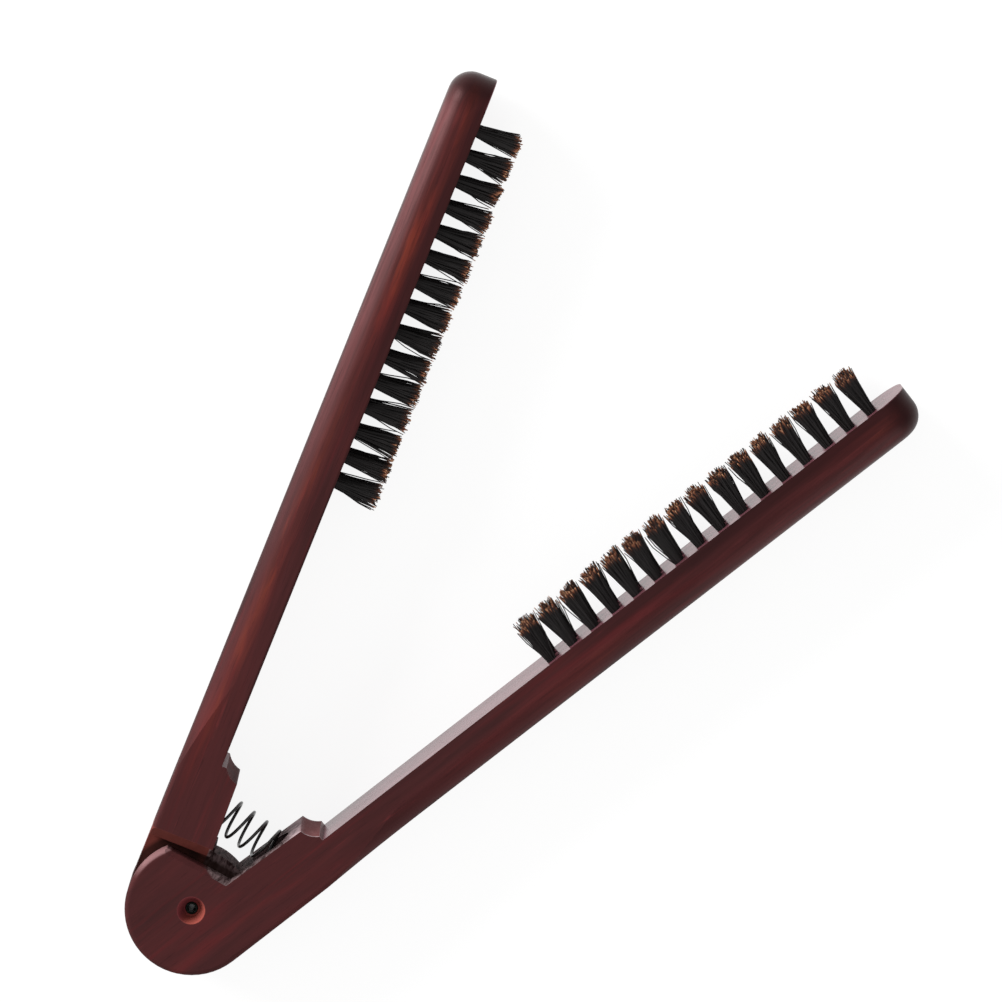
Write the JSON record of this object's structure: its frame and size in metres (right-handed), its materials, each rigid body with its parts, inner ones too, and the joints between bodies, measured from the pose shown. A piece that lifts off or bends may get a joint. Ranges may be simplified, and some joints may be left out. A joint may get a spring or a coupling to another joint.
{
  "type": "hinged bristle comb",
  "caption": "Sprung V-shaped wooden comb: two arms on a fork-and-tongue hinge, facing rows of bristle tufts, a coil spring between them.",
  "frame": {"origin": "on the hinge axis, in the plane of the side face that the comb lies on (its rest face)", "axes": "+X bisects the open arms, from the hinge to the tips; +Z along the hinge axis, out of the upper side face; +Y towards the tongue arm"},
  "size_m": [0.2276, 0.1436, 0.022],
  "materials": {
    "dark_lacquered_wood": "mahogany-stained hardwood under a satin lacquer",
    "boar_bristle": "near-black natural bristle with reddish-brown tips",
    "black_spring_steel": "black oil-hardened spring wire",
    "pin_steel": "dull grey steel tube",
    "anchor_wire": "flat steel wire"
  },
  "bodies": {
    "fork_side": {"fork_arm": "dark_lacquered_wood", "hinge_pin": "pin_steel", "spring": "black_spring_steel", "fork_tuft_anchors": "anchor_wire", "fork_tufts_01": "boar_bristle", "fork_tufts_02": "boar_bristle", "fork_tufts_03": "boar_bristle", "fork_tufts_04": "boar_bristle", "fork_tufts_05": "boar_bristle", "fork_tufts_06": "boar_bristle", "fork_tufts_07": "boar_bristle", "fork_tufts_08": "boar_bristle", "fork_tufts_09": "boar_bristle", "fork_tufts_10": "boar_bristle", "fork_tufts_11": "boar_bristle", "fork_tufts_12": "boar_bristle", "fork_tufts_13": "boar_bristle", "fork_tufts_14": "boar_bristle", "fork_tufts_15": "boar_bristle", "fork_tufts_16": "boar_bristle"},
    "tongue_side": {"tongue_arm": "dark_lacquered_wood", "tongue_tuft_anchors": "anchor_wire", "tongue_tufts_01": "boar_bristle", "tongue_tufts_02": "boar_bristle", "tongue_tufts_03": "boar_bristle", "tongue_tufts_04": "boar_bristle", "tongue_tufts_05": "boar_bristle", "tongue_tufts_06": "boar_bristle", "tongue_tufts_07": "boar_bristle", "tongue_tufts_08": "boar_bristle", "tongue_tufts_09": "boar_bristle", "tongue_tufts_10": "boar_bristle", "tongue_tufts_11": "boar_bristle", "tongue_tufts_12": "boar_bristle", "tongue_tufts_13": "boar_bristle", "tongue_tufts_14": "boar_bristle", "tongue_tufts_15": "boar_bristle"}
  },
  "joints": [
    {"name": "hinge", "type": "hinge", "parent": "fork_side", "child": "tongue_side", "pos_m": [0, 0, 0.011], "axis": [0, 0, 1], "range_deg": [-30, 0], "stiffness_Nm_per_rad": 0.46, "springref_deg": 4.58, "deforming": ["spring"]}
  ]
}
